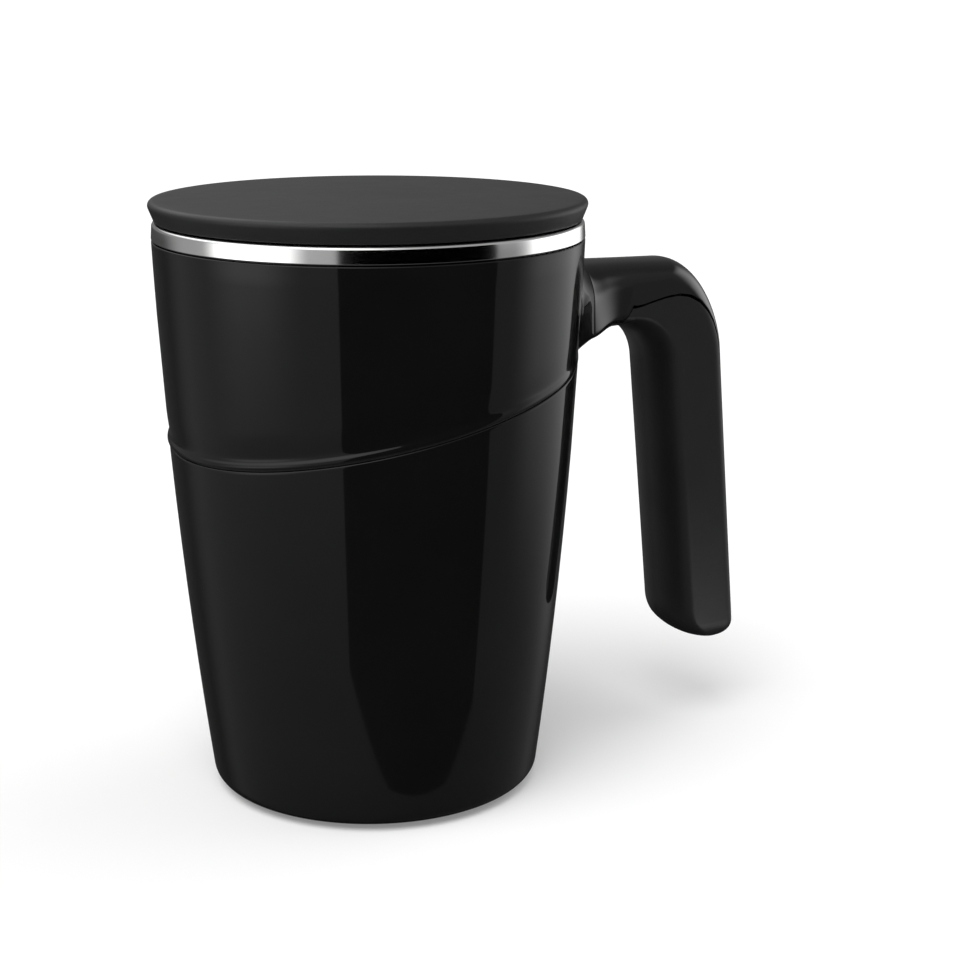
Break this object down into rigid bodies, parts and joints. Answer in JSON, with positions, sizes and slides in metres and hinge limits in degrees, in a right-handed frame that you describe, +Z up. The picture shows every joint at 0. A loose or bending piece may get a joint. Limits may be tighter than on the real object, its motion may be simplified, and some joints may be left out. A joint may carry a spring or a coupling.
{
  "type": "anti-spill mug",
  "caption": "Tapered double-walled mug with a tilted seam, a steel liner, a flat lid, an open hanging handle and a suction foot with an air valve.",
  "frame": {"origin": "on the mug's axis at the table it stands on, at the centre of the valve plug's tip", "axes": "+X from the axis to the handle, +Z up along the mug's axis, +Y across the handle"},
  "size_m": [0.139, 0.0926, 0.128],
  "materials": {
    "gloss_shell": "high gloss black",
    "soft_matte": "soft matt black",
    "inner_plastic": "moulded dark grey",
    "silicone": "matt black silicone",
    "polished_steel": "polished stainless steel",
    "screw_steel": "plain stainless steel"
  },
  "bodies": {
    "cup": {"upper_shell": "gloss_shell", "lower_shell": "gloss_shell", "handle_cover": "gloss_shell", "handle_grip": "soft_matte", "liner_cradle": "inner_plastic", "base_plate": "inner_plastic", "valve_plug": "inner_plastic", "handle_core": "inner_plastic", "seam_gasket": "silicone", "rim_gasket": "silicone", "valve_seal": "silicone", "steel_liner": "polished_steel", "base_screw_1": "screw_steel", "base_screw_2": "screw_steel", "base_screw_3": "screw_steel", "return_spring_1": "screw_steel", "return_spring_2": "screw_steel", "return_spring_3": "screw_steel", "valve_nut": "screw_steel", "handle_screw_1": "screw_steel", "handle_screw_2": "screw_steel"},
    "foot": {"pad_carrier": "inner_plastic", "suction_pad": "silicone", "guide_screw_1": "screw_steel", "guide_screw_2": "screw_steel", "guide_screw_3": "screw_steel"},
    "lid": {"lid_cover": "soft_matte", "lid_plug": "inner_plastic", "lid_seal": "silicone"}
  },
  "joints": [
    {"name": "foot_slide", "type": "slide", "parent": "cup", "child": "foot", "axis": [0, 0, -1], "range_m": [0, 0.0025], "stiffness_N_per_m": 200, "springref_m": -0.004, "deforming": ["return_spring_1", "return_spring_2", "return_spring_3"]},
    {"name": "lid_lift", "type": "slide", "parent": "cup", "child": "lid", "axis": [0, 0, 1], "range_m": [0, 0.04]}
  ]
}
